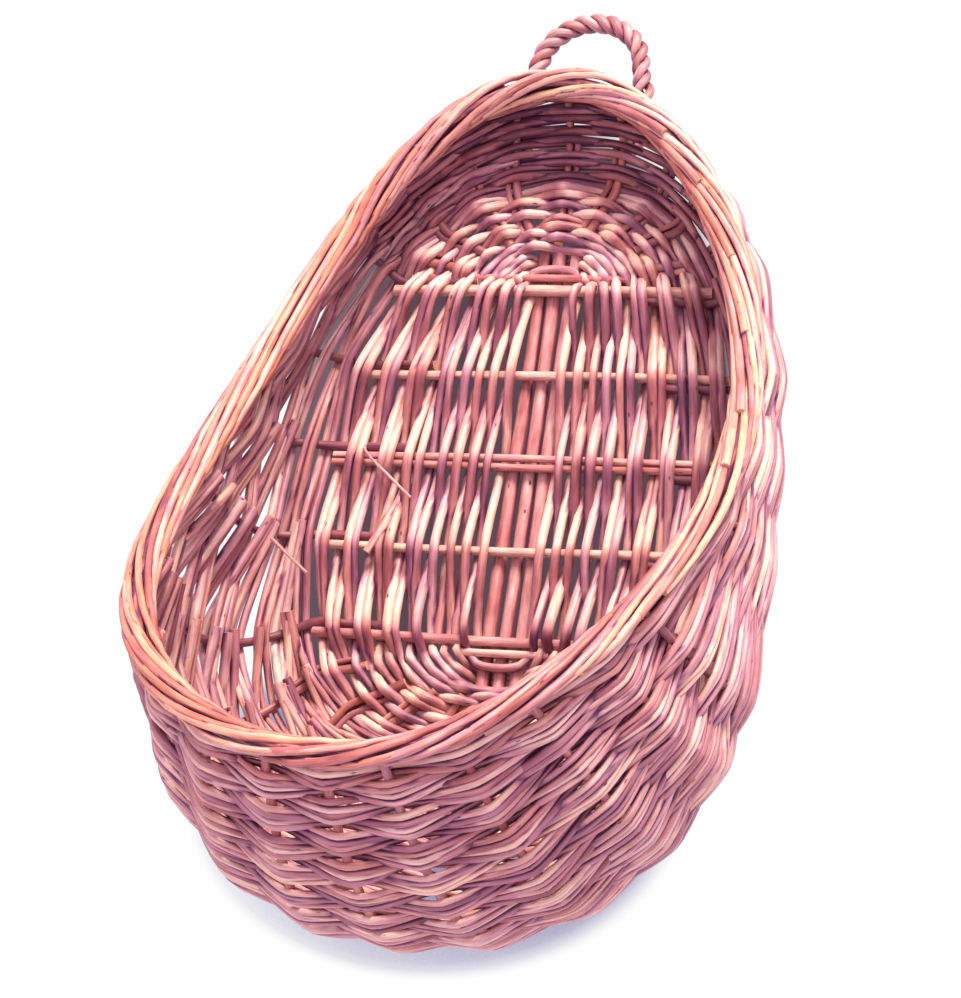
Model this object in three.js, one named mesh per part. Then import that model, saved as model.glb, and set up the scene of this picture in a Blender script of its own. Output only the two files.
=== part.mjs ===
import * as THREE from 'three';

// A wall basket of willow rods: a flat oval base that lies against the wall, stakes that bend up from it,
// rounds of weaving, a rolled border and a twisted hanging loop.
//
// Sizes are in millimetres. Places are given across the basket (u), up the wall (v) and out from the wall
// (n), with u and v counted from the middle of the base. The origin is under the crown of the hanging loop.

// Base: an egg-shaped outline, narrower at the head
const baseHalfWidth = 101;
const baseHalfLength = 146;
const baseTaper = 0.15;
const baseExponent = 0.75;
const rowCount = 5;
const rowEndSpan = 56;
const crossStickDiameter = 5.2;
const pairedStickDiameter = 3.8;
const longStickDiameter = 6.8;
const longStickCount = 3;
const longStickSpacing = 8.2;
const longStickTail = 23;
const baseRoundCount = 6;
const baseWeaverThickness = 3;

// Rim: a wider egg, low over the head and high over the foot
const rimHalfWidth = 126;
const rimHalfLength = 192;
const rimTaper = 0.16;
const rimExponent = 0.95;
const rimDrop = 5;
const headRimHeight = 47;
const footRimHeight = 205;
const rimSweep = 1.6;

// Bulge of the wall, as the reach of the two control points between the base edge and the rim
const sideLowBulge = 40;
const sideHighBulge = 3;
const headLowBulge = 28;
const headHighBulge = 10;
const footLowBulge = 110;
const footHighBulge = 92;
const lowBulgeShare = 0.04;
const highBulgeShare = 0.45;
const footExponent = 2;
const headExponent = 2;

// Stakes and side weaving
const stakeDiameter = 4.4;
const endStakeCount = 9;
const sideStakeInsertion = 29;
const endStakeInsertion = 15;
const sideRoundCount = 12;
const sideWeaverThickness = 3.2;
const edgeMargin = 4;

// Border and hanging loop
const borderWidth = 16;
const borderHeight = 12;
const borderFlat = 8;
const hangHeight = 236;
const loopHalfWidth = 28;
const loopStrandDiameter = 5;
const loopTwists = 5;
const loopSeatRound = 4;
const loopWallGap = 0.5;

// Clearances: between touching rods, at a rod that bends past another, between neighbouring rounds,
// and under the border
const clearance = 0.3;
const weaveClearance = 0.7;
const baseRoundGap = 1.2;
const sideRoundGap = 2.6;
const borderSeatGap = 1;

const stakeRadius = stakeDiameter / 2;
const crossRadius = crossStickDiameter / 2;
const pairedRadius = pairedStickDiameter / 2;
const longRadius = longStickDiameter / 2;
const rowReach = baseHalfLength - rowEndSpan;
const rowSpacing = (2 * rowReach) / (rowCount - 1);
const bundleHalfWidth = (longStickSpacing * (longStickCount - 1)) / 2 + longRadius;

// Cross sticks lie in front of the long sticks; the deepest weaver behind the long sticks touches the wall
const longLevel = longRadius + baseWeaverThickness + weaveClearance;
const stakeLevel = longLevel + longRadius + clearance + Math.max(crossRadius, pairedRadius);

// Facets: sides of a rod's section, and steps of the loop's strands in one twist
const rodSides = 5;
const stickSides = 8;
const stepsPerTwist = 8;

const basket = new THREE.Group();
basket.name = 'wall_basket';

function place(u, v, n) {
  return new THREE.Vector3(u, -n, v - hangHeight);
}

const towardsWall = place(0, 0, -1).sub(place(0, 0, 0));

function egg(angle, halfWidth, halfLength, taper, exponent) {
  const c = Math.cos(angle);
  const s = Math.sin(angle);
  return {
    u: halfWidth * Math.sign(c) * Math.abs(c) ** exponent * (1 - taper * s),
    v: halfLength * Math.sign(s) * Math.abs(s) ** exponent,
  };
}

function baseEdge(angle) {
  return egg(angle, baseHalfWidth, baseHalfLength, baseTaper, baseExponent);
}

function rimEdge(angle) {
  const edge = egg(angle, rimHalfWidth, rimHalfLength, rimTaper, rimExponent);
  const sunk = (rimHalfLength - edge.v) / (2 * rimHalfLength);
  const rise = THREE.MathUtils.smoothstep(sunk ** rimSweep, 0, 1);
  const n = THREE.MathUtils.lerp(headRimHeight, footRimHeight, rise);
  return { u: edge.u, v: edge.v - rimDrop, n };
}

// Angle at which the right or left base edge has a given height
function edgeAngle(v, side) {
  const s = Math.sign(v) * Math.min(Math.abs(v) / baseHalfLength, 1) ** (1 / baseExponent);
  return side > 0 ? Math.asin(s) : Math.PI - Math.asin(s);
}

// Angles that share out the wall evenly between two others, halfway between base edge and rim
function sharedAngles(from, to, count) {
  const samples = 240;
  const points = [];
  for (let i = 0; i <= samples; i += 1) {
    const angle = THREE.MathUtils.lerp(from, to, i / samples);
    const base = baseEdge(angle);
    const rim = rimEdge(angle);
    points.push(new THREE.Vector2((base.u + rim.u) / 2, (base.v + rim.v) / 2));
  }
  const lengths = [0];
  for (let i = 1; i <= samples; i += 1) {
    lengths.push(lengths[i - 1] + points[i].distanceTo(points[i - 1]));
  }
  const angles = [];
  for (let k = 1; k <= count; k += 1) {
    const target = (lengths[samples] * k) / (count + 1);
    const i = lengths.findIndex((length) => length >= target);
    const part = (target - lengths[i - 1]) / (lengths[i] - lengths[i - 1]);
    angles.push(THREE.MathUtils.lerp(from, to, (i - 1 + part) / samples));
  }
  return angles;
}

// Line of a stake up the wall, from the base edge to the rim
function wallCurve(angle) {
  const base = baseEdge(angle);
  const rim = rimEdge(angle);
  const c = Math.cos(angle);
  const s = Math.sin(angle);
  const foot = Math.max(-s, 0) ** footExponent;
  const head = Math.max(s, 0) ** headExponent;
  const side = 1 - foot - head;
  const low = side * sideLowBulge + foot * footLowBulge + head * headLowBulge;
  const high = side * sideHighBulge + foot * footHighBulge + head * headHighBulge;
  const rise = rim.n - stakeLevel;
  return new THREE.CubicBezierCurve3(
    place(base.u, base.v, stakeLevel),
    place(base.u + low * c, base.v + low * s, stakeLevel + lowBulgeShare * rise),
    place(rim.u + high * c, rim.v + high * s, stakeLevel + highBulgeShare * rise),
    place(rim.u, rim.v, rim.n),
  );
}

// Closed solid through a list of rings of points; an open one gets flat ends
function sweep(rings, closed) {
  const sides = rings[0].length;
  const positions = rings.flat().flatMap((point) => point.toArray());
  const faces = [];
  const spans = closed ? rings.length : rings.length - 1;
  for (let i = 0; i < spans; i += 1) {
    const here = i * sides;
    const next = ((i + 1) % rings.length) * sides;
    for (let j = 0; j < sides; j += 1) {
      const k = (j + 1) % sides;
      faces.push(here + j, next + k, next + j);
      faces.push(here + j, here + k, next + k);
    }
  }
  if (!closed) {
    const last = (rings.length - 1) * sides;
    for (let j = 1; j < sides - 1; j += 1) {
      faces.push(0, j + 1, j);
      faces.push(last, last + j, last + j + 1);
    }
  }
  const geometry = new THREE.BufferGeometry();
  geometry.setAttribute('position', new THREE.Float32BufferAttribute(positions, 3));
  geometry.setIndex(faces);
  if (signedVolume(geometry) < 0) {
    faces.reverse();
    geometry.setIndex(faces);
  }
  geometry.computeVertexNormals();
  return geometry;
}

function signedVolume(geometry) {
  const position = geometry.getAttribute('position');
  const index = geometry.getIndex();
  const corners = [new THREE.Vector3(), new THREE.Vector3(), new THREE.Vector3()];
  let volume = 0;
  for (let i = 0; i < index.count; i += 3) {
    corners.forEach((corner, j) => corner.fromBufferAttribute(position, index.getX(i + j)));
    volume += corners[0].dot(corners[1].cross(corners[2])) / 6;
  }
  return volume;
}

// Ring of points round a centre, in the plane of two directions square to each other
function ring(centre, first, second, radius, sides) {
  const points = [];
  for (let i = 0; i < sides; i += 1) {
    const turn = (2 * Math.PI * i) / sides;
    const point = centre.clone();
    point.addScaledVector(first, radius * Math.cos(turn));
    point.addScaledVector(second, radius * Math.sin(turn));
    points.push(point);
  }
  return points;
}

function addRod(name, geometry, color, roughness) {
  const material = new THREE.MeshStandardMaterial({ color, roughness, metalness: 0 });
  const mesh = new THREE.Mesh(geometry, material);
  mesh.name = name;
  basket.add(mesh);
}

// Rows of cross sticks: single sticks, and a close pair of thin ones in the middle row
const middleRow = (rowCount + 1) / 2;
const rows = [];
for (let row = 1; row <= rowCount; row += 1) {
  const v = rowReach - (row - 1) * rowSpacing;
  const paired = row === middleRow;
  const radius = paired ? pairedRadius : crossRadius;
  const spread = paired ? pairedRadius + clearance / 2 : 0;
  rows.push({ row, v, paired, radius, spread, stakeShift: spread + radius + clearance + stakeRadius });
}

// Stakes, in order round the wall from the right side over the head to the left side and the foot
const stakes = [];
function addStake(name, angle, inner) {
  stakes.push({ name, angle, inner, curve: wallCurve(angle) });
}

// A side stake is pushed in beside the end of a cross stick: below it on the right, above it on the left
function addSideStake(row, side) {
  const v = row.v - side * row.stakeShift;
  const angle = edgeAngle(v, side);
  const u = baseEdge(angle).u - side * sideStakeInsertion;
  addStake(`${side > 0 ? 'right' : 'left'}_stake_${row.row}`, angle, { u, v });
}

// An end stake is pushed in towards the outermost cross stick
function addEndStakes(end, from, to) {
  const hub = new THREE.Vector2(0, end === 'head' ? rowReach : -rowReach);
  sharedAngles(from, to, endStakeCount).forEach((angle, i) => {
    const edge = baseEdge(angle);
    const inner = new THREE.Vector2(edge.u, edge.v).sub(hub);
    inner.setLength(inner.length() - endStakeInsertion).add(hub);
    addStake(`${end}_stake_${i + 1}`, angle, { u: inner.x, v: inner.y });
  });
}

[...rows].reverse().forEach((row) => addSideStake(row, 1));
addEndStakes('head', edgeAngle(rowReach, 1), edgeAngle(rowReach, -1));
rows.forEach((row) => addSideStake(row, -1));
addEndStakes('foot', edgeAngle(-rowReach, -1), edgeAngle(-rowReach, 1) + 2 * Math.PI);

// Share of a stake's length at a height counted in rounds of side weaving, which end under the border
function wallShare(stake, height) {
  const length = stake.curve.getLength();
  const start = edgeMargin / length;
  const end = 1 - (borderHeight / 2 + borderSeatGap) / length;
  return THREE.MathUtils.lerp(start, end, height / sideRoundCount);
}

function atRing(list, i) {
  return list[(i + list.length) % list.length];
}

// Outward direction of the wall at one stake, square to the stake
function wallNormal(k, share) {
  const along = stakes[k].curve.getTangentAt(share);
  const after = atRing(stakes, k + 1).curve.getPointAt(share);
  const across = after.sub(atRing(stakes, k - 1).curve.getPointAt(share));
  return across.cross(along).normalize();
}

// Long sticks up the middle of the base
function roundBar(from, to, radius) {
  const along = to.clone().sub(from).normalize();
  const second = along.clone().cross(towardsWall).normalize();
  const ends = [from, to].map((end) => ring(end, towardsWall, second, radius, stickSides));
  return sweep(ends, false);
}

for (let i = 0; i < longStickCount; i += 1) {
  const u = (i - (longStickCount - 1) / 2) * longStickSpacing;
  const reach = rowReach + longStickTail;
  const bar = roundBar(place(u, -reach, longLevel), place(u, reach, longLevel), longRadius);
  addRod(`long_stick_${i + 1}`, bar, 0xa65f4b, 0.6);
}

// Cross sticks in front of them, from base edge to base edge
function addCrossStick(name, row, v) {
  const right = baseEdge(edgeAngle(v, 1)).u;
  const bar = roundBar(place(-right, v, stakeLevel), place(right, v, stakeLevel), row.radius);
  addRod(name, bar, 0xc08a72, 0.6);
}

for (const row of rows) {
  if (row.paired) {
    addCrossStick(`cross_stick_${row.row}_upper`, row, row.v + row.spread);
    addCrossStick(`cross_stick_${row.row}_lower`, row, row.v - row.spread);
  } else {
    addCrossStick(`cross_stick_${row.row}`, row, row.v);
  }
}

// Stations that a base round passes: each has a hub, the base edge straight out from it, and its rods
function rowStation(row, side) {
  const edge = { u: baseEdge(edgeAngle(row.v, side)).u, v: row.v };
  return { hub: { u: 0, v: row.v }, edge, row, side, turn: row.row };
}

function endStations(end, hubV) {
  const endStakes = stakes.filter((stake) => stake.name.startsWith(end));
  return endStakes.map((stake, i) => {
    const middle = i === (endStakeCount - 1) / 2;
    return { hub: { u: 0, v: hubV }, edge: baseEdge(stake.angle), turn: i, middle };
  });
}

const stations = [
  ...[...rows].reverse().map((row) => rowStation(row, 1)),
  ...endStations('head', rowReach),
  ...rows.map((row) => rowStation(row, -1)),
  ...endStations('foot', -rowReach),
];

const baseOffset = baseWeaverThickness / 2 + weaveClearance;
const narrowestRow = Math.min(...rows.map((row) => rowStation(row, 1).edge.u));
const firstShare = (bundleHalfWidth + clearance) / narrowestRow;
const lastShare = 1 - baseRoundGap / baseHalfWidth;

// What one base round does at one station: where it lies, and its levels in front of and behind the rods
function crossing(station, low, high) {
  const out = new THREE.Vector2(station.edge.u - station.hub.u, station.edge.v - station.hub.v);
  const length = out.length();
  out.normalize();
  const near = low * length + baseRoundGap / 2;
  const far = high * length - baseRoundGap / 2;
  const result = { station, out, near, far, front: null, back: null, shifts: [0], turn: station.turn };
  const seatRods = (front, back) => {
    result.front = Math.max(result.front ?? front, front + baseOffset);
    result.back = Math.min(result.back ?? back, back - baseOffset);
  };
  if (station.row) {
    const { row, side } = station;
    const stakeIn = far > length - sideStakeInsertion - clearance;
    const radius = Math.max(row.radius, stakeIn ? stakeRadius : 0);
    seatRods(stakeLevel + radius, stakeLevel - radius);
    const beside = stakeIn ? row.stakeShift : row.spread;
    result.shifts = [-side * beside, side * row.spread].sort((a, b) => side * (a - b));
  } else {
    if (station.middle && near < longStickTail + clearance) {
      seatRods(longLevel + longRadius, longLevel - longRadius);
      const half = bundleHalfWidth + clearance;
      result.shifts = out.y > 0 ? [-half, half] : [half, -half];
      result.sideways = true;
      result.turn = rows[0].row;
    }
    if (far > length - endStakeInsertion - clearance) {
      seatRods(stakeLevel + stakeRadius, stakeLevel - stakeRadius);
    }
  }
  return result;
}

// True at a bare station that a round already spans where it passes the bundle of long sticks
function overBundle(bare, passed) {
  const reachesBundle = Math.abs(bare.out.x * bare.near) < bundleHalfWidth + clearance;
  return reachesBundle && passed.some((each) => each.sideways);
}

// Level at a station that holds no rod for this round: on the way between the stations that do
function bridgeLevels(crossings) {
  crossings.forEach((bare, i) => {
    if (bare.front !== null) {
      return;
    }
    let before = 1;
    while (atRing(crossings, i - before).front === null) {
      before += 1;
    }
    let after = 1;
    while (atRing(crossings, i + after).front === null) {
      after += 1;
    }
    const from = atRing(crossings, i - before).level;
    const to = atRing(crossings, i + after).level;
    bare.level = THREE.MathUtils.lerp(from, to, before / (before + after));
  });
}

function baseRound(index) {
  const step = (lastShare - firstShare) / baseRoundCount;
  const low = firstShare + index * step;
  const passed = stations.map((station) => crossing(station, low, low + step));
  const crossings = passed.filter((each) => each.front !== null || !overBundle(each, passed));
  crossings.forEach((each) => {
    each.level = (each.turn + index) % 2 === 0 ? each.front : each.back;
  });
  bridgeLevels(crossings);
  const half = baseWeaverThickness / 2;
  const rings = [];
  for (const { station, out, near, far, level, shifts, sideways } of crossings) {
    for (const shift of new Set(shifts)) {
      const corner = (reach, n) => place(
        station.hub.u + out.x * reach + (sideways ? -shift : 0),
        station.hub.v + out.y * reach + (sideways ? 0 : shift),
        n,
      );
      rings.push([
        corner(near, level - half),
        corner(far, level - half),
        corner(far, level + half),
        corner(near, level + half),
      ]);
    }
  }
  return sweep(rings, true);
}

for (let i = 0; i < baseRoundCount; i += 1) {
  addRod(`base_round_${i + 1}`, baseRound(i), i % 2 ? 0xb9776a : 0xd2a186, 0.65);
}

// Direction of the rim at one stake
function rimDirection(k) {
  const after = atRing(stakes, k + 1).curve.getPointAt(1);
  return after.sub(atRing(stakes, k - 1).curve.getPointAt(1));
}

// Stakes: straight into the base, then bent up the wall and cut along the border's underside
function stakeRod(stake, k) {
  const points = [place(stake.inner.u, stake.inner.v, stakeLevel), stake.curve.getPointAt(0)];
  const normals = [towardsWall, towardsWall];
  for (let height = 0; height <= sideRoundCount; height += 1) {
    const share = wallShare(stake, height);
    points.push(stake.curve.getPointAt(share));
    normals.push(wallNormal(k, share));
  }
  const rings = points.map((point, i) => {
    const before = points[Math.max(i - 1, 0)];
    const after = points[Math.min(i + 1, points.length - 1)];
    const along = after.clone().sub(before).normalize();
    const across = normals[i].clone().cross(along).normalize();
    const outward = along.cross(across);
    if (i === points.length - 1) {
      const slant = rimDirection(k);
      across.copy(slant.divideScalar(slant.dot(across)));
    }
    return ring(point, outward, across, stakeRadius, rodSides);
  });
  return sweep(rings, false);
}

stakes.forEach((stake, k) => addRod(stake.name, stakeRod(stake, k), 0x86484a, 0.6));

// Side rounds: bands of weaving that pass outside one stake and inside the next, and the other way about in
// the next round
const sideOffset = stakeRadius + sideWeaverThickness / 2 + weaveClearance;

function sideRound(index) {
  const half = sideWeaverThickness / 2;
  const rings = stakes.map((stake, k) => {
    const side = (k + index) % 2 === 0 ? 1 : -1;
    const margin = sideRoundGap / 2 / stake.curve.getLength();
    const low = wallShare(stake, index) + margin;
    const high = wallShare(stake, index + 1) - margin;
    const corner = (share, offset) => {
      return stake.curve.getPointAt(share).addScaledVector(wallNormal(k, share), offset);
    };
    const inner = side * sideOffset - half;
    const outer = side * sideOffset + half;
    return [corner(low, inner), corner(low, outer), corner(high, outer), corner(high, inner)];
  });
  return sweep(rings, true);
}

for (let i = 0; i < sideRoundCount; i += 1) {
  addRod(`side_round_${i + 1}`, sideRound(i), i % 2 ? 0xa9655f : 0xc58673, 0.65);
}

// Border: a rolled bundle all round the rim, on top of the stakes
function rolledBorder() {
  const rings = stakes.map((stake, k) => {
    const centre = stake.curve.getPointAt(1);
    const along = stake.curve.getTangentAt(1);
    const outward = wallNormal(k, 1);
    const corner = (across, up) => centre.clone().addScaledVector(outward, across).addScaledVector(along, up);
    const [edge, flat, top] = [borderWidth / 2, borderFlat / 2, borderHeight / 2];
    const upper = [corner(edge, 0), corner(flat, top), corner(-flat, top)];
    return [...upper, corner(-edge, 0), corner(-flat, -top), corner(flat, -top)];
  });
  return sweep(rings, true);
}

addRod('rolled_border', rolledBorder(), 0xbb7a6b, 0.6);

// Hanging loop: two strands twisted round one line, whose ends lie behind the flare of the head wall,
// on a round that passes outside the stakes there
const strandRadius = loopStrandDiameter / 2;
const strandOffset = strandRadius + clearance / 2;
const ropeRadius = strandOffset + strandRadius;
const ropeLevel = ropeRadius + loopWallGap;

function loopSeat(side) {
  const middle = stakes.findIndex((stake) => stake.name === `head_stake_${(endStakeCount + 1) / 2}`);
  const k = middle - side;
  const share = wallShare(stakes[k], loopSeatRound);
  const lift = sideOffset + sideWeaverThickness / 2 + clearance + ropeRadius;
  return stakes[k].curve.getPointAt(share).addScaledVector(wallNormal(k, share), lift);
}

function loopLine() {
  const crown = hangHeight + ropeRadius;
  const centre = crown - loopHalfWidth;
  const points = [loopSeat(-1)];
  const arcSteps = 6;
  for (let i = 0; i <= arcSteps; i += 1) {
    const turn = Math.PI * (1 - i / arcSteps);
    const u = loopHalfWidth * Math.cos(turn);
    points.push(place(u, centre + loopHalfWidth * Math.sin(turn), ropeLevel));
  }
  points.push(loopSeat(1));
  return new THREE.CatmullRomCurve3(points, false, 'centripetal');
}

function loopStrand(phase) {
  const line = loopLine();
  const steps = loopTwists * stepsPerTwist;
  const centres = [];
  const spokes = [];
  for (let i = 0; i <= steps; i += 1) {
    const along = line.getTangentAt(i / steps);
    const across = along.clone().cross(towardsWall).normalize();
    const back = across.clone().cross(along);
    const turn = phase - (2 * Math.PI * i) / stepsPerTwist;
    const spoke = across.multiplyScalar(Math.cos(turn)).addScaledVector(back, Math.sin(turn));
    spokes.push(spoke);
    centres.push(line.getPointAt(i / steps).addScaledVector(spoke, strandOffset));
  }
  const rings = centres.map((centre, i) => {
    const along = centres[Math.min(i + 1, steps)].clone().sub(centres[Math.max(i - 1, 0)]).normalize();
    const second = along.clone().cross(spokes[i]).normalize();
    const first = second.clone().cross(along);
    return ring(centre, first, second, strandRadius, rodSides);
  });
  return sweep(rings, false);
}

addRod('loop_strand_1', loopStrand(-Math.PI / 2), 0x9a5a4c, 0.55);
addRod('loop_strand_2', loopStrand(Math.PI / 2), 0x8a4a45, 0.55);

export default basket;
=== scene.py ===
from math import cos, radians, sin

import bpy
import numpy as np
from mathutils import Matrix, Vector


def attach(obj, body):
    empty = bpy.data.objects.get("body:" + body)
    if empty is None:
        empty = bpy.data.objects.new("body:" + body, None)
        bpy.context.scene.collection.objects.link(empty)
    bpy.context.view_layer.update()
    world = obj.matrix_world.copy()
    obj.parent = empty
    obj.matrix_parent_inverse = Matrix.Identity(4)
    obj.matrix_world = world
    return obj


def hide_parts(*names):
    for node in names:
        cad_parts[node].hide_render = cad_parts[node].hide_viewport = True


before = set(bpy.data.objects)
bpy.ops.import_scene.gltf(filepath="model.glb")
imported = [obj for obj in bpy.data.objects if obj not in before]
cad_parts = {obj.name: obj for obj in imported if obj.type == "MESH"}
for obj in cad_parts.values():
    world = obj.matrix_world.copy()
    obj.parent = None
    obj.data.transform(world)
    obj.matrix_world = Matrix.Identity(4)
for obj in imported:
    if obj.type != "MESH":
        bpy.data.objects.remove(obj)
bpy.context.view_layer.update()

# The basket hangs flat against a plain white wall in soft daylight that comes down past its head.
# The camera stands below and to the right of it and leans a little, as it did for the photograph.
scene = bpy.context.scene
scene.view_settings.view_transform = "Standard"


def linear(colour):
    """sRGB hex to the linear colour that a node takes."""
    parts = [int(colour[i:i + 2], 16) / 255 for i in (1, 3, 5)]
    return [p / 12.92 if p <= 0.04045 else ((p + 0.055) / 1.055) ** 2.4 for p in parts] + [1]


def add(tree, kind, inputs=None, **settings):
    """Adds a node with its settings. inputs gives each socket a value, or another socket to link."""
    made = tree.nodes.new(kind)
    for key, value in settings.items():
        setattr(made, key, value)
    for key, value in (inputs or {}).items():
        if isinstance(value, bpy.types.NodeSocket):
            tree.links.new(value, made.inputs[key])
        else:
            made.inputs[key].default_value = value
    return made


# In mm: the middle of the base lies this far below the nail under the loop, and its sticks this far off the wall
base_drop = 236.0
stake_level = 13.4
azimuth, elevation, lean = radians(20.2), radians(-18.4), radians(8.24)
camera_distance = 1.5
focal_pixels, picture_height = 3105, 998
base_middle = Vector((0, -stake_level / 1000, -base_drop / 1000))
off_centre_pixels = Vector((46.2, 35.5))
base_middle_off_centre = off_centre_pixels * camera_distance / focal_pixels
toward = Vector((sin(azimuth) * cos(elevation), -cos(azimuth) * cos(elevation), sin(elevation)))
level = Vector((0, 0, 1)).cross(toward).normalized()
right = cos(lean) * level + sin(lean) * toward.cross(level)
up = toward.cross(right)
standpoint = base_middle + camera_distance * toward
backward = standpoint - (base_middle - base_middle_off_centre.x * right - base_middle_off_centre.y * up)
backward.normalize()
right = up.cross(backward).normalized()
lens = bpy.data.cameras.new("camera")
lens.sensor_fit = "VERTICAL"
lens.sensor_height = 36
lens.lens = focal_pixels / picture_height * lens.sensor_height
camera = bpy.data.objects.new("camera", lens)
turned = Matrix((right, backward.cross(right), backward)).transposed()
camera.matrix_world = Matrix.Translation(standpoint) @ turned.to_4x4()
scene.collection.objects.link(camera)
scene.camera = camera

key = bpy.data.lights.new("daylight", "SUN")
key.energy = 6.0
key.angle = radians(24)
key.color = (0.99, 0.875, 0.785)
key_from = Vector((0.24, -0.60, 0.75))
daylight = bpy.data.objects.new("daylight", key)
daylight.rotation_euler = key_from.to_track_quat("Z", "Y").to_euler()
scene.collection.objects.link(daylight)

world = bpy.data.worlds.new("white_room")
world.use_nodes = True
scene.world = world
sky = world.node_tree
sky.nodes.clear()
ray = add(sky, "ShaderNodeLightPath")
seen = add(sky, "ShaderNodeMath", {0: ray.outputs["Is Camera Ray"], 1: ray.outputs["Is Transmission Ray"]},
           operation="MAXIMUM")
room = add(sky, "ShaderNodeBackground", {"Color": (1.0, 0.785, 0.985, 1), "Strength": 1.2})
white = add(sky, "ShaderNodeBackground", {"Color": (1, 1, 1, 1), "Strength": 1.0})
shown = add(sky, "ShaderNodeMixShader", {0: seen.outputs[0], 1: room.outputs[0], 2: white.outputs[0]})
add(sky, "ShaderNodeOutputWorld", {"Surface": shown.outputs[0]})

# The wall is white paint. It shows a painted shadow close under the basket, and nothing of itself from behind.
# Where the base covers it, painted shade makes it dark, since little daylight gets through the weaving.
wall_half = 4.0
wall_level = 0.001
wall_mesh = bpy.data.meshes.new("white_wall")
wall_corners = [(-wall_half, wall_level, -wall_half), (wall_half, wall_level, -wall_half),
                (wall_half, wall_level, wall_half), (-wall_half, wall_level, wall_half)]
wall_mesh.from_pydata(wall_corners, [], [(0, 1, 2, 3)])
white_wall = bpy.data.objects.new("white_wall", wall_mesh)
scene.collection.objects.link(white_wall)
paint = bpy.data.materials.new("white_wall_paint")
paint.use_nodes = True
tree = paint.node_tree
tree.nodes.clear()


def mixed(tree, factor, first, second, blend_type="MIX"):
    """Mix of two colours, each of them a colour or a socket."""
    made = add(tree, "ShaderNodeMix", {0: factor, 6: first, 7: second}, data_type="RGBA", blend_type=blend_type)
    return made.outputs[2]


def from_oval(tree, point, x, z, half_width, half_height):
    """How far a point of the wall is from the middle of an oval. It is 1 on the oval itself."""
    moved = add(tree, "ShaderNodeVectorMath", {0: point, 1: (-x, 0, -z)}, operation="ADD")
    scaled = add(tree, "ShaderNodeVectorMath", {0: moved.outputs[0], 1: (1 / half_width, 0, 1 / half_height)},
                 operation="MULTIPLY")
    return add(tree, "ShaderNodeVectorMath", {0: scaled.outputs[0]}, operation="LENGTH").outputs["Value"]


ray = add(tree, "ShaderNodeLightPath")
facing = add(tree, "ShaderNodeNewGeometry")
across = add(tree, "ShaderNodeTexCoord")
# Painted shade: behind the base the wall's colour goes from dark to grey with ambient occlusion.
behind = add(tree, "ShaderNodeAmbientOcclusion", {"Distance": 0.04}, samples=4)
gap_light = add(tree, "ShaderNodeMapRange", {"Value": behind.outputs["AO"], "From Min": 0.1, "From Max": 0.8})
gap = mixed(tree, gap_light.outputs[0], linear("#523F49"), linear("#86707C"))
base_oval = from_oval(tree, across.outputs["Object"], -0.018, -0.234, 0.122, 0.19)
beyond_base = add(tree, "ShaderNodeMapRange", {"Value": base_oval, "From Min": 0.92, "From Max": 1.0})
# Painted shadow under the foot: grey-blue where ambient occlusion is strong, kept to an oval round the foot.
below = add(tree, "ShaderNodeAmbientOcclusion", {"Distance": 0.07}, samples=4)
foot_oval = from_oval(tree, across.outputs["Object"], -0.030, -0.400, 0.113, 0.078)
far = add(tree, "ShaderNodeMapRange", {"Value": foot_oval, "From Min": 0.88, "From Max": 1.15},
          interpolation_type="SMOOTHSTEP")
lifted = add(tree, "ShaderNodeMath", {0: below.outputs["AO"], 1: far.outputs[0]}, operation="MAXIMUM")
under = add(tree, "ShaderNodeMapRange", {"Value": lifted.outputs[0], "From Min": 0.35, "From Max": 0.98})
open_wall = mixed(tree, under.outputs[0], linear("#8A82B2"), (1, 1, 1, 1))
shade = mixed(tree, beyond_base.outputs[0], gap, open_wall)
picture = add(tree, "ShaderNodeEmission", {"Color": shade})
# For other rays the wall glows as painted bounce light, weaker where the base covers it.
lit_wall = add(tree, "ShaderNodeMapRange", {"Value": beyond_base.outputs[0], "To Min": 0.3, "To Max": 1.2})
bounce = add(tree, "ShaderNodeEmission", {"Color": (0.95, 0.86, 1.0, 1), "Strength": lit_wall.outputs[0]})
front = add(tree, "ShaderNodeMixShader",
            {0: ray.outputs["Is Camera Ray"], 1: bounce.outputs[0], 2: picture.outputs[0]})
clear = add(tree, "ShaderNodeBsdfTransparent")
hidden = add(tree, "ShaderNodeMath", {0: facing.outputs["Backfacing"], 1: ray.outputs["Is Shadow Ray"]},
             operation="MAXIMUM")
surface = add(tree, "ShaderNodeMixShader", {0: hidden.outputs[0], 1: front.outputs[0], 2: clear.outputs[0]})
add(tree, "ShaderNodeOutputMaterial", {"Surface": surface.outputs[0]})
wall_mesh.materials.append(paint)

# Three thick straight willow sticks run up the middle of the base, behind the cross sticks that they carry.
# They are stained red-brown over the bark and cut square at both ends.
long_level = 7.1
long_radius, long_thinning = 3.4, 0.002
long_sway, long_sway_length = 0.35, 38
long_spacing = 8.2
row_reach = 90.0
long_reach = row_reach + 23.0


def place(points):
    """Points given in mm across the basket (u), up the wall (v) and out from it (n), in the part's own frame."""
    u, v, n = np.asarray(points, float).T
    return np.stack([u, -n, v - base_drop], -1) / 1000


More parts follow.
